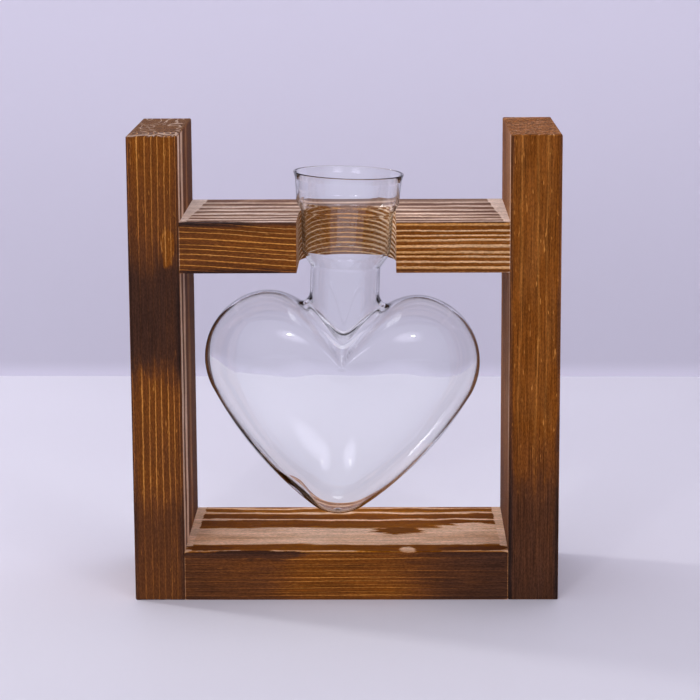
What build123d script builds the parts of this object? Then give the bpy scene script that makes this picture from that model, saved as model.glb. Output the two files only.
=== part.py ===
from build123d import *
import math
import os
import numpy as np

# Propagation vase: a heart of blown glass that hangs by its collar in a notched crossbar, in a stand of
# torched pine boards. Millimetres and degrees. +Z is up, the open side of the notch faces -Y, and the
# origin is on the ground under the middle of the stand.

# Boards of the stand
stand_width = 152.0
stand_height = 167.5
board_depth = 64.0
board_thickness = 18.0
top_bar_top = 137.0
edge_softening = 0.6

# Notch in the crossbar
notch_width = 35.0
notch_depth = 45.0
notch_off_centre = 0.6

# Countersunk screws, driven through the posts into the ends of the bars
screw_length = 38.0
screw_diameter = 3.5
screw_point = 5.0
head_diameter = 7.2
head_edge = 0.4
head_height = 2.6
screw_spread = 36.0
screw_sink = 0.3
screw_clearance = 0.05
recess_width = 3.8
recess_slot = 1.0
recess_depth = 1.4

# Collar, cup and neck of the glass; heights and depths are counted from the crossbar's top face
rim_radius = 20.0
rim_height = 14.4
mouth_radius = 19.2
mouth_height = 11.8
collar_radius = 18.5
collar_height = 3.4
cup_radius = 16.7
cup_height = 0.2
foot_radius = 15.9
foot_depth = 14.6
neck_radius = 12.6
neck_start_depth = 19.6
neck_end_depth = 25.5
turn_radius = 2.0
lip_radius = 0.5
glass_wall = 1.2

# Heart of the glass, as wide as its clearance from the posts lets it be; depths are counted down from the
# crossbar's top face
heart_depth = 46.0
core_depth = 53.5
lobe_radius = 24.5
lobe_clearance = 7.9
lobe_depth = 54.0
flank_radius = 132.0
tip_radius = 15.8
tip_depth = 111.6
tip_wall = 1.8
tip_wall_power = 4

# The cleft, with the valley between heart and neck rounded more at the sides than at the front, and how full
# the heart swells at its edge and near the cleft
cleft_depth = 42.0
side_softening = 5.0
front_softening = 1.6
heart_fullness = 2.2
cleft_fullness = 1.3
fullness_power = 5

# Where the lobes start to fall into the cleft, how soon they have fallen and how steeply
fall_start = 25.0
fall_share = 0.52
fall_power = 6.0
fall_softening = 7.7

# The neck has a little play in its notch, so the vase hangs slightly to one side
vase_lean = 2.2

# Rings that the skin of the heart is lofted through, closer together towards the neck, and the points on
# a quarter of each
ring_count = 24
ring_crowding = 1.2
quarter_points = 13
walk_steps = 120
halvings = 40
probe_share = 0.0001

overrun = 1.0
notch_radius = notch_width / 2
notch_middle_y = notch_depth - notch_radius - board_depth / 2
bar_length = stand_width - 2 * board_thickness
lobe_spread = bar_length - 2 * (lobe_radius + lobe_clearance)
lobe_middle = (lobe_spread / 2, core_depth - lobe_depth)
tip_middle = (0, core_depth - tip_depth + tip_radius)
straight_up = math.pi / 2


# Wooden stand


def screw_turn(clearance, top):
    # A countersunk screw along +Z with its head's face at Z 0, or with a clearance the hole for it.
    head = head_diameter / 2 + clearance
    shank = screw_diameter / 2 + clearance
    point = screw_point * shank * 2 / screw_diameter
    outline = Polyline(
        (0, top),
        (head, top),
        (head, head_edge),
        (shank, head_height),
        (shank, screw_length - screw_point),
        (0, screw_length - screw_point + point),
        close=True,
    )
    return revolve(Plane.XZ * make_face(outline), Axis.Z)


def screw():
    # The screw with the cross recess for its driver.
    sunk = (Align.CENTER, Align.CENTER, Align.MIN)
    slot = Box(recess_width, recess_slot, recess_depth, align=sunk)
    return screw_turn(0, 0) - slot - Rot(0, 0, 90) * slot


def at_joint(side, bar_top, piece):
    # The piece at both screw places of a joint. Side is -1 at the left post and 1 at the right one.
    face = side * (stand_width / 2 - screw_sink)
    height = bar_top - board_thickness / 2
    places = [Pos(face, y, height) for y in (-screw_spread / 2, screw_spread / 2)]
    return [place * Rot(0, -90 * side, 0) * piece for place in places]


def joint_holes(side, bar_top):
    return at_joint(side, bar_top, screw_turn(screw_clearance, -overrun))


def post(side):
    # An upright board, with the holes of both its joints.
    stood = (Align.CENTER, Align.CENTER, Align.MIN)
    blank = Box(board_thickness, board_depth, stand_height, align=stood)
    upright = Pos(side * (stand_width - board_thickness) / 2, 0, 0) * fillet(blank.edges(), edge_softening)
    return upright - joint_holes(side, board_thickness) - joint_holes(side, top_bar_top)


def bar(top):
    # A board that fits between the posts, with the holes in both its ends.
    hung = (Align.CENTER, Align.CENTER, Align.MAX)
    blank = Box(bar_length, board_depth, board_thickness, align=hung)
    softened = fillet(blank.edges().filter_by(Axis.X), edge_softening)
    return Pos(0, 0, top) * softened - joint_holes(-1, top) - joint_holes(1, top)


def notched_bar():
    # The crossbar, with a notch that is open to the front and round at the back.
    straight = notch_depth - notch_radius + overrun
    mouth = Pos(0, -straight / 2) * Rectangle(notch_width, straight)
    notch = extrude(Circle(notch_radius) + mouth, board_thickness + 2 * overrun)
    foot = top_bar_top - board_thickness - overrun
    return bar(top_bar_top) - Pos(notch_off_centre, notch_middle_y, foot) * notch


# Glass vase. The heart is worked out around its core, the point on its axis where it is thickest.


def flank_centre():
    # The centre of the long arc that runs from the lobe's arc to the tip's arc and touches both.
    span = math.dist(lobe_middle, tip_middle)
    to_lobe = flank_radius - lobe_radius
    to_tip = flank_radius - tip_radius
    along = (to_lobe**2 - to_tip**2 + span**2) / (2 * span)
    across = math.sqrt(to_lobe**2 - along**2)
    run = ((tip_middle[0] - lobe_middle[0]) / span, (tip_middle[1] - lobe_middle[1]) / span)
    return (
        lobe_middle[0] + along * run[0] + across * run[1],
        lobe_middle[1] + along * run[1] - across * run[0],
    )


flank_middle = flank_centre()


def arc_end(middle):
    # The climb, seen from the core, at which the flank's arc meets the arc around this middle.
    stretch = flank_radius / math.dist(flank_middle, middle)
    x = flank_middle[0] + stretch * (middle[0] - flank_middle[0])
    z = flank_middle[1] + stretch * (middle[1] - flank_middle[1])
    return math.atan2(z, x)


tip_end = arc_end(tip_middle)
lobe_start = arc_end(lobe_middle)


def arc_reach(middle, radius, climb, softening=0):
    # The way from the core to the far side of an arc. The softening rounds the change where the arc ends.
    along = middle[0] * math.cos(climb) + middle[1] * math.sin(climb)
    left = radius**2 - math.hypot(*middle) ** 2 + along**2
    return along + math.sqrt((left + math.hypot(left, softening**2)) / 2)


def outline_reach(climb):
    # The way from the core to the heart's outline as seen from the front, without the neck.
    if climb < tip_end:
        return arc_reach(tip_middle, tip_radius, climb)
    if climb < lobe_start:
        return arc_reach(flank_middle, flank_radius, climb)
    lobe = arc_reach(lobe_middle, lobe_radius, climb, fall_softening)
    cleft = core_depth - cleft_depth
    start = math.radians(fall_start)
    fallen = max(climb - start, 0) / (straight_up - start)
    return cleft + (lobe - cleft) / (1 + (fallen / fall_share) ** fall_power)


def heart_gauge(x, y, z):
    # Grows evenly from 0 at the core to 1 on the heart's skin.
    climb = math.atan2(z, abs(x))
    flat = math.hypot(x, z) / outline_reach(climb)
    thick = abs(y) * 2 / heart_depth
    near_cleft = max(math.sin(climb), 0) ** fullness_power
    fullness = heart_fullness + (cleft_fullness - heart_fullness) * near_cleft
    return (flat**fullness + thick**fullness) ** (1 / fullness)


def outside_heart(x, y, z):
    # About the distance outside the heart, negative inside it.
    probe = probe_share * heart_depth
    here = heart_gauge(x, y, z)
    slope = math.hypot(
        heart_gauge(x + probe, y, z) - here,
        heart_gauge(x, y + probe, z) - here,
        heart_gauge(x, y, z + probe) - here,
    )
    return (here - 1) * probe / slope


def outside_skin(x, y, z):
    # The same for the heart and neck together, with a rounded valley between them.
    heart = outside_heart(x, y, z)
    if z < 0:
        return heart
    across = math.hypot(x, y)
    neck = across - neck_radius
    softening = front_softening + (side_softening - front_softening) * (x / across) ** 2
    valley = math.hypot(max(softening - heart, 0), max(softening - neck, 0))
    return max(softening, min(heart, neck)) - valley


def no_inset(climb):
    return 0


def wall_inset(climb):
    # The glass is thickest at the tip, where it gathered.
    return glass_wall + (tip_wall - glass_wall) * max(-math.sin(climb), 0) ** tip_wall_power


def skin_point(bearing, climb, inset):
    # The point of the skin in one direction from the core, found by halving.
    run = (
        math.cos(climb) * math.cos(bearing),
        math.cos(climb) * math.sin(bearing),
        math.sin(climb),
    )
    near, far = 0, tip_depth
    for _ in range(halvings):
        middle = (near + far) / 2
        if outside_skin(*(middle * part for part in run)) + inset(climb) < 0:
            near = middle
        else:
            far = middle
    return tuple(near * part for part in run)


def meridian(bearing, inset):
    # One point of each ring, from the tip, over the lobe or the front, to the end of the neck.
    neck_climb = math.atan2(core_depth - neck_end_depth, neck_radius - inset(straight_up))
    climbs = np.linspace(-straight_up, neck_climb, walk_steps)
    walk = [skin_point(bearing, climb, inset) for climb in climbs]
    walked = np.cumsum([0] + [math.dist(a, b) for a, b in zip(walk, walk[1:])])
    stops = walked[-1] * (1 - np.linspace(1, 0, ring_count) ** ring_crowding)
    return [skin_point(bearing, climb, inset) for climb in np.interp(stops, walked, climbs)]


def ring(quarter):
    # A closed ring from its quarter between +X and +Y.
    half = quarter + [(-x, y, z) for x, y, z in reversed(quarter[:-1])]
    points = half + [(x, -y, z) for x, y, z in reversed(half[1:-1])]
    turns = [i / len(points) for i in range(len(points) + 1)]
    return Wire([Edge.make_spline(points, parameters=turns, periodic=True)])


def heart(inset):
    # The heart as one smooth solid, from its tip to the circle at the end of its neck.
    bearings = np.linspace(0, straight_up, quarter_points)
    quarters = list(zip(*(meridian(bearing, inset) for bearing in bearings)))
    neck = Plane.XY.offset(core_depth - neck_end_depth)
    end = Wire([Edge.make_circle(neck_radius - inset(straight_up), neck)])
    rings = [ring(list(quarter)) for quarter in quarters[1:-1]]
    return Pos(0, 0, -core_depth) * Solid.make_loft([Vertex(*quarters[0][0])] + rings + [end])


def turned_collar(side):
    # The solid between the axis and a side line of the neck, cup and collar.
    low, high = side.vertices().sort_by(Axis.Y)[0], side.vertices().sort_by(Axis.Y)[-1]
    back = Polyline((high.X, high.Y), (0, high.Y), (0, low.Y), (low.X, low.Y))
    return revolve(Plane.XZ * make_face(side.edges() + back.edges()), Axis.Z)


def glass_vase():
    # The vase is its outer solid without the hollow; both are a heart with a turned neck and collar.
    outside = FilletPolyline(
        (neck_radius, -neck_end_depth),
        (neck_radius, -neck_start_depth),
        (foot_radius, -foot_depth),
        (cup_radius, cup_height),
        (collar_radius, collar_height),
        (mouth_radius, mouth_height),
        (rim_radius, rim_height),
        radius=turn_radius,
    )
    inside = offset(outside, glass_wall, side=Side.LEFT, closed=False)
    blank = heart(no_inset) + turned_collar(outside)
    hollow = heart(wall_inset) + turned_collar(inside)
    vase = blank - hollow
    vase = fillet(vase.edges().filter_by(GeomType.CIRCLE).sort_by(Axis.Z)[-2:], lip_radius)
    return Pos(notch_off_centre, notch_middle_y, top_bar_top) * Rot(0, vase_lean, 0) * vase


# Every sub-part by its name

subparts = {
    "left_post": post(-1),
    "right_post": post(1),
    "top_bar": notched_bar(),
    "bottom_bar": bar(board_thickness),
    "glass_vase": glass_vase(),
}
for name, side, bar_top in (
    ("top_left_screws", -1, top_bar_top),
    ("top_right_screws", 1, top_bar_top),
    ("bottom_left_screws", -1, board_thickness),
    ("bottom_right_screws", 1, board_thickness),
):
    subparts[name] = Compound(children=at_joint(side, bar_top, screw()))

os.makedirs("parts", exist_ok=True)
for name, shape in subparts.items():
    shape.label = name
    export_step(shape, f"parts/{name}.step")
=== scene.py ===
import bmesh
import bpy
import math
import numpy as np
from mathutils import Matrix, Vector


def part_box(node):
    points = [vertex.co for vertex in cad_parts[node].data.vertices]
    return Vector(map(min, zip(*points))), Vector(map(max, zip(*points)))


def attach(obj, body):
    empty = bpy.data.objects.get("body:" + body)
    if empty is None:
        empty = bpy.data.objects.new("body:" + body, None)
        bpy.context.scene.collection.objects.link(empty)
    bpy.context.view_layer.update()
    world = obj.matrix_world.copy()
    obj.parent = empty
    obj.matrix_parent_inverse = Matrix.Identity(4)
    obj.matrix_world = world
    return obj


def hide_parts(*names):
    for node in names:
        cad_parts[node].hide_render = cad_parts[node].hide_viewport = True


# Propagation vase: a heart of blown glass in a stand of torched pine. Metres, +Z up, front towards -Y.

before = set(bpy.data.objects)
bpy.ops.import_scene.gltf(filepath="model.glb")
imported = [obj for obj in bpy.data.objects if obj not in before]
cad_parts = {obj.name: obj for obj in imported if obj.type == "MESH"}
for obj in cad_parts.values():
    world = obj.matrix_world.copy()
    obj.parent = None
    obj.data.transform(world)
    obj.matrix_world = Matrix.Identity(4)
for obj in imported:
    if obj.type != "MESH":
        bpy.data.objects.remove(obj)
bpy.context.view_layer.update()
scene = bpy.context.scene
mm = 0.001
print("frame loaded")


# Small helpers

def tone(red, green, blue):
    # an 8 bit screen colour as the linear colour that shaders take
    parts = [c / 255 for c in (red, green, blue)]
    return [p / 12.92 if p <= 0.04045 else ((p + 0.055) / 1.055) ** 2.4 for p in parts] + [1]


def setInputs(tree, node, inputs):
    # each input set to a value, or linked to another node's output
    for name, value in inputs.items():
        if isinstance(value, bpy.types.NodeSocket):
            tree.links.new(value, node.inputs[name])
        else:
            node.inputs[name].default_value = value


def addNode(tree, kind, inputs={}, **settings):
    node = tree.nodes.new("ShaderNode" + kind)
    for name, value in settings.items():
        setattr(node, name, value)
    setInputs(tree, node, inputs)
    return node


def sums(tree, operation, *values, clamp=False):
    # the result of one Math node
    node = addNode(tree, "Math", dict(enumerate(values)), operation=operation, use_clamp=clamp)
    return node.outputs[0]


def between(tree, share, first, second):
    # the number that lies this share of the way from the first to the second
    return sums(tree, "MULTIPLY_ADD", sums(tree, "SUBTRACT", second, first), share, first)


def remap(tree, value, low, high, newLow=0, newHigh=1):
    inputs = {0: value, 1: low, 2: high, 3: newLow, 4: newHigh}
    return addNode(tree, "MapRange", inputs, interpolation_type="SMOOTHSTEP").outputs[0]


def vectors(tree, operation, first, second):
    return addNode(tree, "VectorMath", {0: first, 1: second}, operation=operation).outputs[0]


def axes(tree, vector):
    return addNode(tree, "SeparateXYZ", {0: vector}).outputs


def noise(tree, point, stretch, detail, roughness=0.5, distortion=0.0):
    # soft noise from 0 to 1: its scale along each axis, then how fine, rough and twisted it is
    return addNode(tree, "TexNoise", {
        "Vector": vectors(tree, "MULTIPLY", point, stretch), "Scale": 1.0, "Detail": detail,
        "Roughness": roughness, "Distortion": distortion,
    }).outputs[0]


def blend(tree, share, first, second, mode="MIX"):
    # two colours mixed, or one worked onto the other
    node = addNode(tree, "Mix", {0: share, 6: first, 7: second}, data_type="RGBA", blend_type=mode)
    return node.outputs[2]


def shaded(tree, colour, shade):
    # a colour made lighter or darker by a number
    grey = addNode(tree, "CombineXYZ", {0: shade, 1: shade, 2: shade}).outputs[0]
    return blend(tree, 1.0, colour, grey, "MULTIPLY")


def ramp(tree, value, stops, smooth="LINEAR"):
    # a colour ramp with (place, colour or grey) stops
    node = addNode(tree, "ValToRGB", {0: value})
    node.color_ramp.interpolation = smooth
    elements = node.color_ramp.elements
    while len(elements) < len(stops):
        elements.new(1)
    for element, (place, colour) in zip(elements, stops):
        element.position = place
        element.color = colour if isinstance(colour, (list, tuple)) else [colour, colour, colour, 1]
    return node.outputs[0]


def newMaterial(name):
    material = bpy.data.materials.new(name)
    material.use_nodes = True
    material.node_tree.nodes.clear()
    tree = material.node_tree
    shader = addNode(tree, "BsdfPrincipled")
    addNode(tree, "OutputMaterial", {0: shader.outputs[0]})
    return material, tree, shader


def letThrough(tree, shader, share, colour):
    # where the share is 1, the material only tints what is behind it
    clear = addNode(tree, "BsdfTransparent", {"Color": colour})
    mixed = addNode(tree, "MixShader", {0: share, 1: shader.outputs[0], 2: clear.outputs[0]})
    output = next(n for n in tree.nodes if n.type == "OUTPUT_MATERIAL")
    tree.links.new(mixed.outputs[0], output.inputs[0])


def newGroup(name, inputs, outputs):
    # an empty shader group with its sockets
    tree = bpy.data.node_groups.new(name, "ShaderNodeTree")
    for title, kind, value in inputs:
        socket = tree.interface.new_socket(title, in_out="INPUT", socket_type="NodeSocket" + kind)
        if value is not None:
            socket.default_value = value
    for title in outputs:
        tree.interface.new_socket(title, in_out="OUTPUT", socket_type="NodeSocketFloat")
    return tree, tree.nodes.new("NodeGroupInput").outputs, tree.nodes.new("NodeGroupOutput")


def placeGroup(tree, group, inputs):
    node = tree.nodes.new("ShaderNodeGroup")
    node.node_tree = group
    setInputs(tree, node, inputs)
    return node.outputs


def meshPiece(name, bm, material):
    mesh = bpy.data.meshes.new(name)
    bm.to_mesh(mesh)
    bm.free()
    piece = bpy.data.objects.new(name, mesh)
    scene.collection.objects.link(piece)
    mesh.materials.append(material)
    return piece


# Torched pine

# Lengths are in millimetres. Noise scales run along the grain, across the depth and through the board.
ringPattern = {
    "swayNoise": ((0.022, 0.11, 0.11), 2.0),  # rings wander
    "jitterNoise": ((0.3, 0.5, 0.5), 3.0, 0.7), "jitter": 0.5,  # and tremble
    "unevenScale": 0.55,
    "ownShare": (0.65, 0.7),  # what a ring keeps of the line share at least, and what chance adds
    "lineEnd": 0.94, "rise": 0.45, "fall": (0.88, 0.98),  # shares of a ring
    "fibreNoise": ((0.05, 2.6, 2.6), 4.0, 0.65),
}
burnPattern = {"cloudNoise": ((0.03, 0.12, 0.12), 5.0, 0.65), "raggedEdge": 4.0}


def makeRingGroup():
    # growth rings of a board; the point is in millimetres from the pith, with the grain along X
    tree, given, result = newGroup("growthRings", [
        ("Point", "Vector", None),
        ("Ring Width", "Float", 1.6),
        ("Waviness", "Float", 1.0),
        ("Unevenness", "Float", 1.0),
        ("Line Share", "Float", 0.3),
    ], ["Line", "Ring Tone", "Fibre"])
    sway = noise(tree, given["Point"], *ringPattern["swayNoise"])
    jitter = noise(tree, given["Point"], *ringPattern["jitterNoise"])
    parts = axes(tree, given["Point"])
    squares = sums(tree, "ADD", sums(tree, "POWER", parts[1], 2), sums(tree, "POWER", parts[2], 2))
    swayed = sums(tree, "SUBTRACT", sway, 0.5)
    swayed = sums(tree, "MULTIPLY_ADD", swayed, given["Waviness"], sums(tree, "SQRT", squares))
    swayed = sums(tree, "MULTIPLY_ADD", sums(tree, "SUBTRACT", jitter, 0.5), ringPattern["jitter"], swayed)
    count = sums(tree, "DIVIDE", swayed, given["Ring Width"])
    uneven = {"W": count, "Scale": ringPattern["unevenScale"], "Detail": 0.0}
    uneven = addNode(tree, "TexNoise", uneven, noise_dimensions="1D").outputs[0]
    count = sums(tree, "MULTIPLY_ADD", uneven, given["Unevenness"], count)
    phase = sums(tree, "FRACT", count)
    own = addNode(tree, "TexWhiteNoise", {"W": sums(tree, "FLOOR", count)}, noise_dimensions="1D").outputs[0]
    # each ring ends in a line that starts softly and stops sharply
    least, chance = ringPattern["ownShare"]
    share = sums(tree, "MULTIPLY", given["Line Share"], sums(tree, "MULTIPLY_ADD", own, chance, least))
    start = sums(tree, "SUBTRACT", ringPattern["lineEnd"], share)
    rising = remap(tree, phase, start, sums(tree, "MULTIPLY_ADD", share, ringPattern["rise"], start))
    falling = remap(tree, phase, *ringPattern["fall"], 1, 0)
    setInputs(tree, result, {
        "Line": sums(tree, "MULTIPLY", rising, falling),
        "Ring Tone": own,
        "Fibre": noise(tree, given["Point"], *ringPattern["fibreNoise"]),
    })
    return tree


def makeBurnGroup():
    # how far the torch has burnt a board, from 0 to 1, with darker edges; millimetres from the board's middle
    tree, given, result = newGroup("torchBurn", [
        ("Point", "Vector", None),
        ("Half Depth", "Float", 32.0),
        ("Half Thickness", "Float", 9.0),
        ("Burn", "Float", 0.5),
        ("Cloud", "Float", 0.3),
        ("Edge Burn", "Float", 0.3),
        ("Edge Width", "Float", 2.0),
    ], ["Burn"])
    cloud = sums(tree, "SUBTRACT", noise(tree, given["Point"], *burnPattern["cloudNoise"]), 0.5)
    parts = axes(tree, given["Point"])
    inDepth = sums(tree, "SUBTRACT", given["Half Depth"], sums(tree, "ABSOLUTE", parts[1]))
    inThickness = sums(tree, "SUBTRACT", given["Half Thickness"], sums(tree, "ABSOLUTE", parts[2]))
    fromEdge = sums(tree, "ADD", inDepth, inThickness)
    ragged = sums(tree, "MULTIPLY_ADD", cloud, burnPattern["raggedEdge"], fromEdge)
    edge = remap(tree, ragged, 0, given["Edge Width"], 1, 0)
    burn = sums(tree, "MULTIPLY_ADD", cloud, given["Cloud"], given["Burn"])
    setInputs(tree, result, {"Burn": sums(tree, "MULTIPLY_ADD", edge, given["Edge Burn"], burn, clamp=True)})
    return tree


ringGroup = makeRingGroup()
burnGroup = makeBurnGroup()

pine = {
    # what the torch makes of the soft wood and of the hard lines in it, from raw to charred
    "soft": [(0, tone(232, 198, 172)), (0.15, tone(194, 150, 114)), (0.3, tone(144, 90, 42)),
             (0.42, tone(118, 65, 18)), (0.6, tone(94, 54, 27)), (0.8, tone(66, 41, 29)), (1, tone(42, 28, 24))],
    "hard": [(0, tone(246, 218, 190)), (0.15, tone(230, 190, 146)), (0.3, tone(218, 162, 98)),
             (0.42, tone(204, 138, 62)), (0.6, tone(156, 94, 42)), (0.8, tone(92, 56, 34)), (1, tone(56, 36, 28))],
    "rough": (0.75, 0.6), "roughFibre": 0.12, "shine": 0.08, "ior": 1.35,  # roughness raw and charred
    "lineHeight": 0.12, "fibreHeight": 0.06,
    "drift": 10,  # how far a drift of 1 moves the lines from a drift of 0
    "waveNoise": ((0.035, 0.09, 0.05), 5.0, 0.6), "wave": 9.0,  # the bands across the broad sides
    "patchyNoise": ((0.09, 0.4, 0.4), 5.0, 0.7),
    "patchy": {"front": 0.16, "strip": 2.5, "patch": 2.2},  # how far it shifts each of these
    "evenBurn": 0.42,  # the front's burn that leaves the broad sides as they are
    "strip": {"front": 0.06, "edge": 0.2, "raw": 0.9},  # its share of width on the front, its edge, how raw it is
    "patch": (0.75, 1.1),  # a patch is full up to here, and gone from there, in its own radii
    "ringTone": 0.1, "paleEnd": 0.35,  # how much darker a ring's line can be, and how much paler a sawn end's
    "streak": (0.3, 0.7), "streakTones": (-0.4, 0.35),
    "gritNoise": ((0.9, 2.6, 2.6), 2.0), "grit": (0.33, 0.67), "gritTones": (0.78, 1.17),
    "endNoise": ((0.9, 0.8, 1.1), 3.0), "endGrit": (0.38, 0.62),
    "fleckNoise": ((0.2, 1.3, 1.3), 2.0), "fleck": (0.66, 0.74),
    "swirlNoise": ((0.05, 0.03, 0.09), 2.0, 0.5, 1.2), "swirlArcs": 7, "swirl": (0.02, 0.14),
    "swirlTone": tone(206, 182, 162), "swirlShare": 0.75,
}

# Each board: where the pith of its log lay from its middle (along its depth and its thickness) and its rings.
# Then, along the grain, how burnt its front is, and how its lines drift, show, fill their rings and pale; across
# its depth, how burnt its broad sides are, and how these and the sawn ends look; at its joints, the strips that
# the flame missed, at the front and at the back; and patches, by middle, radii and burn. Millimetres.
boards = {
    "left_post": {
        "upright": True, "pith": (-24, 12.5), "ringWidth": 1.9, "waviness": 0.8, "unevenness": 0.35,
        "burn": [(0, 0.6), (0.17, 0.66), (0.27, 0.53), (0.46, 0.5), (0.54, 0.79), (0.68, 0.81), (0.82, 0.55),
                 (1, 0.45)],
        "drift": [(0, 0.5), (1, 0.5)],
        "lines": [(0, 0.4), (0.17, 0.3), (0.26, 1), (0.46, 1), (0.55, 0.25), (0.68, 0.25), (0.8, 0.85), (1, 0.9)],
        "shares": [(0, 0.2), (1, 0.17)],
        "pale": [(0, 0.08), (1, 0.06)],
        "across": [(0, 0.3), (0.02, 0.0), (0.11, 0.06), (0.13, 0.62), (0.19, 0.6), (0.22, 0.02), (0.32, 0.08),
                   (0.36, 0.62), (0.5, 0.55), (0.55, 0.25), (0.62, 0.3), (0.68, 0.6), (1, 0.6)],
        "sideSheenGrey": 0.05, "sideFollow": 0.1, "sideLines": 0.3, "sideShare": 0.3,
        "endBurn": 0.66, "endArcs": 0.9, "endGrit": 0.15, "joints": (0, 0),
        "fibre": 0.5, "flecks": 0.6, "cloud": 0.3, "edgeBurn": 0.25,
        "patches": [((45.5, -32, -5), (8, 3, 2.4), 0.4)],
    },
    "right_post": {
        "upright": True, "pith": (-60, -38), "ringWidth": 3.4, "waviness": 3.0, "unevenness": 1.6,
        "burn": [(0, 0.77), (0.2, 0.72), (0.32, 0.49), (0.42, 0.4), (1, 0.4)],
        "drift": [(0, 0.5), (1, 0.5)],
        "lines": [(0, 0.15), (1, 0.25)],
        "shares": [(0, 0.25), (1, 0.25)],
        "pale": [(0, 0), (1, 0)],
        "across": [(0, 0), (0.05, 0.08), (0.09, 0.3), (0.3, 0.3), (0.5, 0.38), (1, 0.42)],
        "sideSheenGrey": 0.1, "sideFollow": 0.6, "sideLines": 0.3, "sideShare": 0.3,
        "endBurn": 0.37, "endArcs": 0, "endGrit": 0.5, "joints": (0, 0),
        "fibre": 1.1, "flecks": 0.9, "cloud": 0.2, "edgeBurn": 0.35,
        "patches": [],
    },
    "top_bar": {
        "upright": False, "pith": (34, -150), "ringWidth": 1.75, "waviness": 1.2, "unevenness": 0.5,
        "burn": [(0, 0.58), (0.3, 0.5), (0.45, 0.44), (0.62, 0.42), (1, 0.4)],
        "drift": [(0, 0.32), (0.4, 0.56), (0.6, 0.6), (1, 0.6)],
        "lines": [(0, 1), (0.5, 0.95), (0.62, 0.82), (1, 0.8)],
        "shares": [(0, 0.2), (0.42, 0.24), (0.62, 0.5), (1, 0.52)],
        "pale": [(0, 0.16), (0.45, 0.14), (0.62, 0.22), (1, 0.25)],
        "across": [(0, 0.5), (0.03, 0), (0.08, 0.55), (0.12, 0.03), (0.19, 0.58), (0.23, 0.08), (0.31, 0.5),
                   (0.35, 0), (0.45, 0.56), (0.5, 0.05), (0.6, 0.5), (0.66, 0.04), (0.76, 0.6), (0.82, 0.14),
                   (0.92, 0.58), (1, 0.35)],
        "sideSheenGrey": 0.3, "sideFollow": -0.5, "sideLines": 0.2, "sideShare": 0.3,
        "endBurn": 0.3, "endArcs": 0, "endGrit": 0, "joints": (2.0, 6.0),
        "fibre": 0.6, "flecks": 0.25, "cloud": 0.3, "edgeBurn": 0.3,
        "patches": [((-48, -33, 9), (14, 6, 1.5), 0.7), ((-40, -33, -9), (20, 3, 2), 0.68)],
    },
    "bottom_bar": {
        "upright": False, "pith": (1, -190), "ringWidth": 1.35, "waviness": 1.4, "unevenness": 1.1,
        "burn": [(0, 0.68), (0.22, 0.6), (0.4, 0.44), (0.62, 0.44), (0.85, 0.74), (1, 0.78)],
        "drift": [(0, 0.5), (1, 0.5)],
        "lines": [(0, 0.7), (0.4, 1), (0.7, 1), (1, 0.5)],
        "shares": [(0, 0.17), (1, 0.17)],
        "pale": [(0, 0.02), (1, 0.02)],
        "across": [(0, 0), (0.018, 0), (0.028, 0.36), (0.13, 0.42), (0.16, 0), (0.3, 0.04), (0.49, 0),
                   (0.53, 0.46), (0.68, 0.4), (0.695, 0), (0.715, 0.02), (0.73, 0.46), (0.82, 0.38), (0.84, 0),
                   (0.86, 0.05), (0.88, 0.32), (0.94, 0.38), (0.965, 0), (1, 0.3)],
        "sideSheenGrey": -0.12, "sideFollow": 0.1, "sideLines": 0.12, "sideShare": 0.25,
        "endBurn": 0.3, "endArcs": 0, "endGrit": 0, "joints": (2.2, 3.5),
        "fibre": 0.85, "flecks": 0.3, "cloud": 0.3, "edgeBurn": 0.12,
        "patches": [((19, -3, 9), (9, 5, 4), 0.5), ((46, 2.5, 9), (14, 5, 4), 0.05),
                    ((22, -29.5, 9.4), (3.2, 4.5, 1.2), 0.03), ((48, -27.5, 9), (14, 3.6, 3), 0.66),
                    ((-50, -27, 9), (9, 3.6, 3), 0.6), ((-38, -33, 8), (22, 3, 2.6), 0.74)],
    },
}


def findSpot(tree, node, board):
    # a point on the board's own axes, from its middle: X along the grain, Y across its depth, Z through it
    low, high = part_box(node)
    middle, size = (low + high) / 2 / mm, (high - low) / mm
    length, depth, thickness = (size.z, size.y, size.x) if board["upright"] else size
    turn = math.radians(90) if board["upright"] else 0
    point = addNode(tree, "Mapping", {
        "Vector": addNode(tree, "TexCoord").outputs["Object"], "Location": -(Matrix.Rotation(turn, 4, "Y") @ middle),
        "Rotation": (0, turn, 0), "Scale": (1 / mm, 1 / mm, 1 / mm),
    }).outputs[0]
    parts = axes(tree, point)
    facing = axes(tree, addNode(tree, "NewGeometry").outputs["Normal"])
    ends, sides = (facing[2], facing[0]) if board["upright"] else (facing[0], facing[2])
    return {
        "length": length, "depth": depth, "thickness": thickness, "point": point, "parts": parts,
        "atEnd": sums(tree, "POWER", ends, 2), "atSide": sums(tree, "POWER", sides, 2),
        "along": sums(tree, "MULTIPLY_ADD", parts[0], 1 / length, 0.5),  # from 0 to 1
    }


def growRings(tree, board, spot):
    # growth rings, whose lines drift up or down along the grain
    drift = sums(tree, "SUBTRACT", ramp(tree, spot["along"], board["drift"], "EASE"), 0.5)
    drift = sums(tree, "MULTIPLY", drift, pine["drift"])
    pithDepth, pithHeight = board["pith"]
    moved = addNode(tree, "CombineXYZ", {1: -pithDepth, 2: sums(tree, "SUBTRACT", drift, pithHeight)}).outputs[0]
    return placeGroup(tree, ringGroup, {
        "Point": vectors(tree, "ADD", spot["point"], moved), "Ring Width": board["ringWidth"],
        "Waviness": board["waviness"], "Unevenness": board["unevenness"],
        "Line Share": between(tree, spot["atSide"], ramp(tree, spot["along"], board["shares"]), board["sideShare"]),
    })


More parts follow.
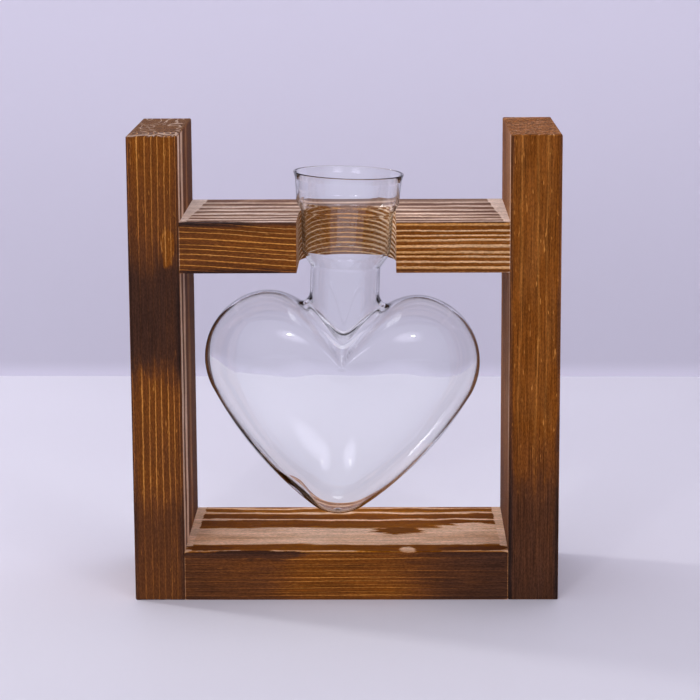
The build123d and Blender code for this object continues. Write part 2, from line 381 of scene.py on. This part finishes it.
def burnBoard(tree, board, spot):
    # how burnt the front is along the grain, and the broad sides across the board, in wavy bands
    wave = sums(tree, "SUBTRACT", noise(tree, spot["point"], *pine["waveNoise"]), 0.5)
    patchy = sums(tree, "SUBTRACT", noise(tree, spot["point"], *pine["patchyNoise"]), 0.5)
    front = sums(tree, "MULTIPLY_ADD", patchy, pine["patchy"]["front"], spot["along"])
    front = ramp(tree, front, board["burn"], "EASE")
    broad = sums(tree, "MULTIPLY_ADD", wave, pine["wave"], spot["parts"][1])
    broad = ramp(tree, sums(tree, "MULTIPLY_ADD", broad, 1 / spot["depth"], 0.5), board["across"])
    follow = sums(tree, "SUBTRACT", front, pine["evenBurn"])
    broad = sums(tree, "MULTIPLY_ADD", follow, board["sideFollow"], broad)
    burn = between(tree, spot["atSide"], front, broad)
    burn = between(tree, spot["atEnd"], burn, board["endBurn"])
    # the strips at the joints that the flame missed
    nearFront, nearBack = board["joints"]
    if nearFront:
        growth, mean = (nearBack - nearFront) / spot["depth"], (nearFront + nearBack) / 2
        strip = sums(tree, "MULTIPLY_ADD", spot["parts"][1], growth, mean)
        strip = sums(tree, "MULTIPLY_ADD", patchy, pine["patchy"]["strip"], strip)
        inFront, edge = pine["strip"]["front"], pine["strip"]["edge"]
        strip = sums(tree, "MULTIPLY", strip, sums(tree, "MULTIPLY_ADD", spot["atSide"], 1 - inFront, inFront))
        fromEnd = sums(tree, "SUBTRACT", spot["length"] / 2, sums(tree, "ABSOLUTE", spot["parts"][0]))
        missed = remap(tree, sums(tree, "SUBTRACT", fromEnd, strip), -edge, edge, pine["strip"]["raw"], 0)
        burn = sums(tree, "MULTIPLY", burn, sums(tree, "SUBTRACT", 1, missed))
    # patches that were torched more or less than what is round them
    for middle, radii, patchBurn in board["patches"]:
        away = vectors(tree, "DIVIDE", vectors(tree, "SUBTRACT", spot["point"], middle), radii)
        away = addNode(tree, "VectorMath", {0: away}, operation="LENGTH").outputs["Value"]
        away = sums(tree, "MULTIPLY_ADD", patchy, pine["patchy"]["patch"], away)
        burn = between(tree, remap(tree, away, *pine["patch"], 1, 0), burn, patchBurn)
    return placeGroup(tree, burnGroup, {
        "Point": spot["point"], "Half Depth": spot["depth"] / 2, "Half Thickness": spot["thickness"] / 2,
        "Burn": burn, "Cloud": board["cloud"], "Edge Burn": board["edgeBurn"],
    })["Burn"]


def colourBoard(tree, board, spot, rings, burn):
    # soft wood with hard lines that burn less
    soft = ramp(tree, burn, pine["soft"])
    paler = sums(tree, "MULTIPLY_ADD", spot["atEnd"], pine["paleEnd"], ramp(tree, spot["along"], board["pale"]))
    lineBurn = sums(tree, "MULTIPLY_ADD", rings["Ring Tone"], pine["ringTone"], sums(tree, "SUBTRACT", burn, paler))
    hard = ramp(tree, lineBurn, pine["hard"])
    shown = ramp(tree, spot["along"], board["lines"], "EASE")
    shown = between(tree, spot["atSide"], shown, board["sideLines"])
    colour = blend(tree, sums(tree, "MULTIPLY", rings["Line"], shown), soft, hard)
    # streaks along the grain, grit, and coarser grit on the sawn ends
    dark, light = (1 + share * board["fibre"] for share in pine["streakTones"])
    streak = remap(tree, rings["Fibre"], *pine["streak"], dark, light)
    grit = noise(tree, spot["point"], *pine["gritNoise"])
    streak = sums(tree, "MULTIPLY", streak, remap(tree, grit, *pine["grit"], *pine["gritTones"]))
    coarse = noise(tree, spot["point"], *pine["endNoise"])
    coarse = remap(tree, coarse, *pine["endGrit"], -board["endGrit"], board["endGrit"])
    colour = shaded(tree, colour, sums(tree, "ADD", streak, sums(tree, "MULTIPLY", spot["atEnd"], coarse)))
    # short light flecks where the fibres broke
    fleck = remap(tree, noise(tree, spot["point"], *pine["fleckNoise"]), *pine["fleck"])
    colour = blend(tree, sums(tree, "MULTIPLY", fleck, board["flecks"]), colour, hard)
    # light arcs that swirl over the sawn ends
    curl = noise(tree, spot["point"], *pine["swirlNoise"])
    curl = sums(tree, "FRACT", sums(tree, "MULTIPLY", curl, pine["swirlArcs"]))
    curl = sums(tree, "ABSOLUTE", sums(tree, "SUBTRACT", curl, 0.5))
    arc = remap(tree, curl, *pine["swirl"], pine["swirlShare"] * board["endArcs"], 0)
    colour = blend(tree, sums(tree, "MULTIPLY", arc, spot["atEnd"]), colour, pine["swirlTone"])
    # the broad sides are a little greyer, a painted sheen for the grey haze they reflect, or with a negative value a
    # little more vivid
    vivid = sums(tree, "MULTIPLY_ADD", spot["atSide"], -board["sideSheenGrey"], 1)
    return addNode(tree, "HueSaturation", {"Color": colour, "Saturation": vivid}).outputs[0]


def makePine(node, board):
    # torched pine for one board, cut from its own place in the log
    material, tree, shader = newMaterial(node + "Pine")
    spot = findSpot(tree, node, board)
    rings = growRings(tree, board, spot)
    burn = burnBoard(tree, board, spot)
    raw, charred = pine["rough"]
    rough = sums(tree, "MULTIPLY_ADD", burn, charred - raw, raw)
    height = sums(tree, "MULTIPLY", rings["Line"], pine["lineHeight"])
    height = sums(tree, "MULTIPLY_ADD", rings["Fibre"], pine["fibreHeight"], height)
    setInputs(tree, shader, {
        "Base Color": colourBoard(tree, board, spot, rings, burn),
        "Roughness": sums(tree, "MULTIPLY_ADD", rings["Fibre"], pine["roughFibre"], rough),
        "Specular IOR Level": pine["shine"],
        "IOR": pine["ior"],
        "Normal": addNode(tree, "Bump", {"Height": height, "Distance": mm, "Strength": 1.0}).outputs[0],
    })
    return material


for node, board in boards.items():
    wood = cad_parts[node]
    wood.data.materials.clear()
    wood.data.materials.append(makePine(node, board))
print("boards torched")


# Screws

screwFinish = {
    "steel": tone(176, 172, 164), "dark": tone(96, 90, 84), "cloudScale": 900.0, "clouds": (0.35, 0.75),
    "rough": (0.22, 0.42),
}


def makeSteel():
    # plated steel, slightly uneven
    material, tree, shader = newMaterial("screwSteel")
    where = addNode(tree, "TexCoord").outputs["Object"]
    cloud = addNode(tree, "TexNoise", {"Vector": where, "Scale": screwFinish["cloudScale"], "Detail": 4.0}).outputs[0]
    dim = remap(tree, cloud, *screwFinish["clouds"])
    least, most = screwFinish["rough"]
    setInputs(tree, shader, {
        "Base Color": blend(tree, dim, screwFinish["steel"], screwFinish["dark"]),
        "Roughness": sums(tree, "MULTIPLY_ADD", cloud, most - least, least),
        "Metallic": 1,
    })
    return material


steel = makeSteel()
for node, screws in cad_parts.items():
    if node.endswith("screws"):
        screws.data.materials.clear()
        screws.data.materials.append(steel)
print("screws plated")


# Glass heart

# Millimetres, out from the vase's axis and up from the crossbar's top face
neck = {"radius": 12.6, "end": -25.5, "top": -19.6}
collar = {
    "side": [(neck["radius"], neck["end"]), (neck["radius"], neck["top"]), (15.9, -14.6), (16.7, 0.2), (18.5, 3.4),
             (19.2, 11.8), (20.0, 14.4)],
    "turnRadius": 2.0, "lipRadius": 0.38, "turnSteps": 6,
}
# Millimetres, down from the same face; the skin is measured from the core, on the axis. Angles in degrees.
heart = {
    "depth": 46.0, "core": 53.5, "lobeRadius": 24.5, "lobeSpread": 51.2, "lobeDepth": 54.0,
    "flankRadius": 132.0, "tipRadius": 15.8, "tipDepth": 111.6, "cleftDepth": 42.0,
    "sideSoftening": 5.0, "frontSoftening": 1.6,  # the valley round the neck
    "fullness": 2.2, "cleftFullness": 1.3, "fullnessPower": 5,
    "fallStart": 25.0, "fallShare": 0.52, "fallPower": 6.0, "fallSoftening": 7.7,  # from the lobes into the cleft
    "wall": 0.78, "tipWall": 0.85, "tipWallPower": 4,
    "segments": 160, "climbStep": 1.1, "halvings": 36,
}
ripple = {"height": 0.09, "across": 5.2, "up": 3.9, "through": 9.0, "start": (0.8, 0.4)}  # of the inside
# gathers of thicker glass low on the left flank: places sideways and up from the core, and turns in degrees
gathers = {
    "fold": {"middle": (-14.5, -48.5), "turn": 43.0, "length": 6.5, "width": 2.2, "reach": 6.0, "swell": 2.3},
    "seam": {"middle": (-30.0, -36.5), "turn": 50.0, "length": 13.0, "width": 6.0, "reach": 4.0, "swell": 0.8},
}
vaseSeat = {"offCentre": 0.6, "y": -4.5, "lean": 2.2}


def flankCentre(lobe, tip):
    # the centre of the long arc that touches the lobe's arc and the tip's arc
    span = math.dist(lobe, tip)
    toLobe, toTip = heart["flankRadius"] - heart["lobeRadius"], heart["flankRadius"] - heart["tipRadius"]
    along = (toLobe**2 - toTip**2 + span**2) / (2 * span)
    across = math.sqrt(toLobe**2 - along**2)
    run = ((tip[0] - lobe[0]) / span, (tip[1] - lobe[1]) / span)
    return lobe[0] + along * run[0] + across * run[1], lobe[1] + along * run[1] - across * run[0]


lobeMiddle = (heart["lobeSpread"] / 2, heart["core"] - heart["lobeDepth"])
tipMiddle = (0, heart["core"] - heart["tipDepth"] + heart["tipRadius"])
flankMiddle = flankCentre(lobeMiddle, tipMiddle)


def arcEnd(middle):
    # the climb, seen from the core, at which the flank's arc meets the lobe's or the tip's
    stretch = heart["flankRadius"] / math.dist(flankMiddle, middle)
    x, z = (f + stretch * (m - f) for f, m in zip(flankMiddle, middle))
    return math.atan2(z, x)


def arcReach(middle, radius, climb, softening=0):
    # from the core to an arc; past the arc's end a softening keeps it smooth
    along = middle[0] * np.cos(climb) + middle[1] * np.sin(climb)
    left = radius**2 - math.hypot(*middle) ** 2 + along**2
    return along + np.sqrt((left + np.hypot(left, softening**2)) / 2)


def outlineReach(climb):
    # from the core to the heart's outline, seen from the front
    lobe = arcReach(lobeMiddle, heart["lobeRadius"], climb, heart["fallSoftening"])
    cleft = heart["core"] - heart["cleftDepth"]
    start = math.radians(heart["fallStart"])
    fallen = np.maximum(climb - start, 0) / (math.pi / 2 - start)
    top = cleft + (lobe - cleft) / (1 + (fallen / heart["fallShare"]) ** heart["fallPower"])
    flank = arcReach(flankMiddle, heart["flankRadius"], climb)
    tip = arcReach(tipMiddle, heart["tipRadius"], climb)
    return np.where(climb < arcEnd(tipMiddle), tip, np.where(climb < arcEnd(lobeMiddle), flank, top))


def heartGauge(x, y, z):
    # 1 on the heart's skin, less inside
    climb = np.arctan2(z, np.abs(x))
    flat = np.hypot(x, z) / outlineReach(climb)
    thick = np.abs(y) * 2 / heart["depth"]
    nearCleft = np.maximum(np.sin(climb), 0) ** heart["fullnessPower"]
    fullness = heart["fullness"] + (heart["cleftFullness"] - heart["fullness"]) * nearCleft
    return (flat**fullness + thick**fullness) ** (1 / fullness)


def outsideSkin(x, y, z):
    # about how far a point lies outside the heart and its neck, with a rounded valley between the two
    probe, least = 0.005, 1e-9
    here = heartGauge(x, y, z)
    slopes = [heartGauge(x + probe, y, z), heartGauge(x, y + probe, z), heartGauge(x, y, z + probe)]
    slope = np.sqrt(sum((s - here) ** 2 for s in slopes)) / probe
    body = (here - 1) / np.maximum(slope, least)
    across = np.hypot(x, y)
    fromNeck = across - neck["radius"]
    soft = heart["frontSoftening"] + (heart["sideSoftening"] - heart["frontSoftening"]) * (x / across) ** 2
    valley = np.hypot(np.maximum(soft - body, 0), np.maximum(soft - fromNeck, 0))
    return np.where(z < 0, body, np.maximum(soft, np.minimum(body, fromNeck)) - valley)


def innerSwell(points):
    # how far the inside stands towards the core: ripples all over, and the gathers
    x, y, z = points.T
    first, second = ripple["start"]
    swell = ripple["height"] * np.sin(x / ripple["across"] + first)
    swell *= np.sin(z / ripple["up"] + y / ripple["through"] + second)
    for gather in gathers.values():
        turn = math.radians(gather["turn"])
        right, up = x - gather["middle"][0], z - gather["middle"][1]
        along = right * math.cos(turn) - up * math.sin(turn)
        beside = right * math.sin(turn) + up * math.cos(turn)
        away = (along / gather["length"]) ** 2 + (beside / gather["width"]) ** 2 + (y / gather["reach"]) ** 2
        swell += gather["swell"] * np.exp(-away)
    return swell


def skinPoints(bearing, climb, wall):
    # the skin's point in each direction from the core, found by halving
    near, far = np.zeros_like(climb), np.full_like(climb, heart["tipDepth"])
    towardTip = np.maximum(-np.sin(climb), 0) ** heart["tipWallPower"]
    inset = wall + (wall > 0) * (heart["tipWall"] - heart["wall"]) * towardTip
    run = (np.cos(climb) * np.cos(bearing), np.cos(climb) * np.sin(bearing), np.sin(climb))
    for _ in range(heart["halvings"]):
        middle = (near + far) / 2
        inside = outsideSkin(*(middle * part for part in run)) + inset < 0
        near, far = np.where(inside, middle, near), np.where(inside, far, middle)
    points = near[:, None] * np.stack(run, 1)
    swell = innerSwell(points) * (wall > 0)
    return points * (1 - swell / np.linalg.norm(points, axis=1))[:, None]


def insetSide(side, wall):
    # the same line of the profile, one wall further in
    moved = []
    for i, point in enumerate(side):
        before, after = side[max(i - 1, 0)], side[min(i + 1, len(side) - 1)]
        runs = [np.subtract(b, a) / math.dist(a, b) for a, b in ((before, point), (point, after)) if a != b]
        normals = [np.array((-r[1], r[0])) for r in runs]
        middle = sum(normals) / np.linalg.norm(sum(normals))
        moved.append(np.add(point, middle * wall / float(middle @ normals[0])))
    moved[-1][1], moved[0][1] = side[-1][1], side[0][1]
    return [tuple(p) for p in moved]


def drawCollar(bm):
    # half of its section: up the outside of neck, cup and collar, over the lip and down the inside
    outer, inner = collar["side"], insetSide(collar["side"], heart["wall"])
    line = [bm.verts.new((x, 0, z)) for x, z in outer + inner[::-1]]
    for a, b in zip(line, line[1:]):
        bm.edges.new((a, b))
    lip = line[len(outer) - 1:len(outer) + 1]
    corners = [v for v in line[1:-1] if v not in lip]
    for corner in corners:
        a, b = (edge.other_vert(corner).co - corner.co for edge in corner.link_edges)
        turn = math.pi - a.angle(b)
        offset = collar["turnRadius"] * math.tan(turn / 2)
        bmesh.ops.bevel(bm, geom=[corner], offset=offset, affect="VERTICES", segments=collar["turnSteps"],
                        profile=0.5, material=-1)
    bmesh.ops.bevel(bm, geom=lip, offset=collar["lipRadius"], affect="VERTICES", segments=collar["turnSteps"],
                    profile=0.5, material=-1)


def drawHeart(bm, climbLayer, wallLayer, heartLayer):
    # half of a round section for each skin, from the neck to the tip, which notes each point's climb and wall
    ends = sorted((v for v in bm.verts if len(v.link_edges) == 1), key=lambda v: -v.co.x)
    for end, wall in zip(ends, (0.0, heart["wall"])):
        start = math.degrees(math.atan2(heart["core"] + neck["end"], end.co.x))
        count = round((start + 90) / heart["climbStep"])
        last = end
        for i in range(1, count + 1):
            climb = math.radians(start - (start + 90) * i / count)
            vert = bm.verts.new((0 if i == count else math.cos(climb), 0, math.sin(climb) - heart["core"]))
            vert[climbLayer], vert[wallLayer], vert[heartLayer] = climb, wall, 1
            bm.edges.new((last, vert))
            last = vert


def makeVase(material):
    bm = bmesh.new()
    climbLayer = bm.verts.layers.float.new("climb")
    wallLayer = bm.verts.layers.float.new("wall")
    heartLayer = bm.verts.layers.int.new("heart")
    drawCollar(bm)
    drawHeart(bm, climbLayer, wallLayer, heartLayer)
    bmesh.ops.spin(bm, geom=bm.verts[:] + bm.edges[:], cent=(0, 0, 0), axis=(0, 0, 1), angle=2 * math.pi,
                   steps=heart["segments"], use_merge=True)
    bmesh.ops.remove_doubles(bm, verts=bm.verts, dist=1e-5)
    # the formula moves the round heart's points onto the real skins
    skin = [v for v in bm.verts if v[heartLayer]]
    bearing = np.array([math.atan2(v.co.y, v.co.x) for v in skin])
    climb = np.array([v[climbLayer] for v in skin])
    wall = np.array([v[wallLayer] for v in skin])
    for vert, point in zip(skin, skinPoints(bearing, climb, wall)):
        vert.co = Vector(point) - Vector((0, 0, heart["core"]))
    bmesh.ops.recalc_face_normals(bm, faces=bm.faces)
    # hung in the notch, leaning a little
    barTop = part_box("top_bar")[1][2] / mm
    lean = Matrix.Rotation(math.radians(vaseSeat["lean"]), 4, "Y")
    place = Matrix.Translation((vaseSeat["offCentre"], vaseSeat["y"], barTop)) @ lean
    bmesh.ops.transform(bm, matrix=Matrix.Scale(mm, 4) @ place, verts=bm.verts)
    for face in bm.faces:
        face.smooth = True
    return meshPiece("heartVase", bm, material)


glassFinish = {
    # the rim colour and its fade paint shade onto the glass where it is seen edge on
    "tint": tone(254, 255, 255), "paintedRimShade": tone(30, 29, 27), "paintedRimShadeFade": (0.66, 0.88), "ior": 1.45, "rough": 0.0,
    "waveScale": 42.0, "waveHeight": 0.35 * mm,  # the faint waves of blown glass
}


def makeGlass():
    # clear glass with painted shade where it is seen edge on, for the dark edges it refracts, that lets lamps through
    # to what is behind it
    material, tree, shader = newMaterial("clearGlass")
    # painted shade: how far the glass is seen edge on
    paintedEdgeShade = addNode(tree, "LayerWeight", {"Blend": 0.5}).outputs["Facing"]
    paintedEdgeShade = remap(tree, paintedEdgeShade, *glassFinish["paintedRimShadeFade"])
    where = addNode(tree, "TexCoord").outputs["Object"]
    waves = addNode(tree, "TexNoise", {"Vector": where, "Scale": glassFinish["waveScale"], "Detail": 1.0}).outputs[0]
    bump = addNode(tree, "Bump", {"Height": waves, "Distance": glassFinish["waveHeight"], "Strength": 1.0})
    setInputs(tree, shader, {
        "Base Color": blend(tree, paintedEdgeShade, glassFinish["tint"], glassFinish["paintedRimShade"]),
        "Roughness": glassFinish["rough"],
        "IOR": glassFinish["ior"],
        "Transmission Weight": 1,
        "Normal": bump.outputs[0],
    })
    letThrough(tree, shader, addNode(tree, "LightPath").outputs["Is Shadow Ray"], glassFinish["tint"])
    return material


vase = makeVase(makeGlass())
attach(vase, "vase")
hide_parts("glass_vase")


# Studio

# painted shade and light, as fades: axis, where each fade starts and ends along it, and how light the paint is at
# each
sheets = {
    # the floor: painted shade, darker towards the front
    "paleFloor": {"tone": tone(219, 217, 226), "paintedShadeAndLight": [(1, -0.9, 0.3, 0.86, 1.0)]},
    # the wall: painted shade, darker towards its foot, with a band of painted light at the very foot that makes it as
    # light as the floor
    "paleWall": {"tone": tone(211, 208, 222), "paintedShadeAndLight": [(2, 0.0, 0.22, 0.82, 1.0), (2, 0.0, 0.009, 1.2, 1.0)]},
}
studio = {
    "front": -1.4, "back": 0.372, "halfWidth": 1.1, "height": 1.2, "turn": 1.0,
    "mottleScale": 3.0, "mottleFrom": (0.2, 0.8), "mottle": (0.97, 1.0), "rough": 0.6, "shine": 0.3,
    "worldTone": tone(226, 223, 236), "worldStrength": 0.5,
}
lamps = {
    "backLeft": {"place": (-0.85, 0.33, 0.6), "aim": (0, 0, 0.06), "size": 0.1, "power": 3.1},
    "frontLeft": {"place": (-0.3, -0.95, 0.66), "aim": (0, 0, 0.08), "size": 0.05, "power": 1.2},
    "frontRight": {"place": (0.6, -0.92, 0.64), "aim": (0, 0, 0.08), "size": 0.05, "power": 1.0},
    "top": {"place": (0.0, 0.26, 1.3), "aim": (0, 0, 0), "size": 0.8, "power": 5.2},
}
# soft bright spots all round: where they are, the degrees over which they fade out, and how strong they are
glows = {
    "left": {"direction": (-0.22, -0.82, 0.44), "fall": (3, 13), "strength": 2.8},
    "right": {"direction": (0.42, -0.8, 0.46), "fall": (3, 13), "strength": 2.6},
    "front": {"direction": (0, -1, 0.2), "fall": (20, 70), "strength": 0.8},
}
viewpoint = {
    "place": (15.1 * mm, -886.2 * mm, 255.7 * mm), "down": 10.873, "right": -0.896, "roll": -0.310, "lens": 126.76,
}


def makePlain(name, colour, paintedShadeAndLight):
    # matt paint, faintly mottled, with painted shade and light along the given fades
    material, tree, shader = newMaterial(name)
    where = addNode(tree, "TexCoord").outputs["Object"]
    cloud = addNode(tree, "TexNoise", {"Vector": where, "Scale": studio["mottleScale"], "Detail": 2.0}).outputs[0]
    shade = remap(tree, cloud, *studio["mottleFrom"], *studio["mottle"])
    for axis, *paintedFade in paintedShadeAndLight:
        # painted shade or light along one axis
        shade = sums(tree, "MULTIPLY", shade, remap(tree, axes(tree, where)[axis], *paintedFade))
    setInputs(tree, shader, {
        "Base Color": shaded(tree, colour, shade),
        "Roughness": studio["rough"],
        "Specular IOR Level": studio["shine"],
    })
    # one-sided, so that the part can also be seen from behind the wall
    letThrough(tree, shader, addNode(tree, "NewGeometry").outputs["Backfacing"], (1, 1, 1, 1))
    return material


def makeStudio():
    # a floor and a wall that meet behind the stand, turned a little
    front, back, foot = (studio["front"], 0), (studio["back"], studio["height"]), (studio["back"], 0)
    turn = Matrix.Rotation(math.radians(-studio["turn"]), 3, "Z")
    for name, near, far in (("paleFloor", front, foot), ("paleWall", foot, back)):
        colour, paintedFade = sheets[name]["tone"], sheets[name]["paintedShadeAndLight"]
        bm = bmesh.new()
        ends = ((-1, near), (1, near), (1, far), (-1, far))
        bm.faces.new([bm.verts.new((side * studio["halfWidth"], *place)) for side, place in ends])
        bmesh.ops.rotate(bm, verts=bm.verts, cent=(0, studio["back"], 0), matrix=turn)
        meshPiece(name, bm, makePlain(name + "Paint", colour, paintedFade))


def makeLamps():
    for name, lamp in lamps.items():
        data = bpy.data.lights.new(name, "AREA")
        data.size, data.energy = lamp["size"], lamp["power"]
        light = bpy.data.objects.new(name, data)
        light.location = lamp["place"]
        light.rotation_euler = (Vector(lamp["place"]) - Vector(lamp["aim"])).to_track_quat("Z", "Y").to_euler()
        scene.collection.objects.link(light)


def makeSurround():
    # pale all round, with brighter spots, for the glass to reflect
    world = bpy.data.worlds.new("paleSurround")
    world.use_nodes = True
    tree = world.node_tree
    background = next(n for n in tree.nodes if n.type == "BACKGROUND")
    toward = addNode(tree, "TexCoord").outputs["Generated"]
    strength = studio["worldStrength"]
    for glow in glows.values():
        direction = Vector(glow["direction"]).normalized()
        near = addNode(tree, "VectorMath", {0: toward, 1: direction}, operation="DOT_PRODUCT").outputs["Value"]
        sharp, faint = (math.cos(math.radians(angle)) for angle in glow["fall"])
        strength = sums(tree, "ADD", strength, remap(tree, near, faint, sharp, 0, glow["strength"]))
    setInputs(tree, background, {"Color": studio["worldTone"], "Strength": strength})
    scene.world = world
    scene.view_settings.view_transform = "Standard"


def makeCamera():
    data = bpy.data.cameras.new("camera")
    data.lens = viewpoint["lens"]
    camera = bpy.data.objects.new("camera", data)
    turn = Matrix.Rotation(math.radians(-viewpoint["right"]), 4, "Z")
    tilt = Matrix.Rotation(math.radians(90 - viewpoint["down"]), 4, "X")
    roll = Matrix.Rotation(math.radians(viewpoint["roll"]), 4, "Z")
    camera.matrix_world = Matrix.Translation(viewpoint["place"]) @ turn @ tilt @ roll
    scene.collection.objects.link(camera)
    scene.camera = camera


makeStudio()
makeLamps()
makeSurround()
makeCamera()
print("studio lit")
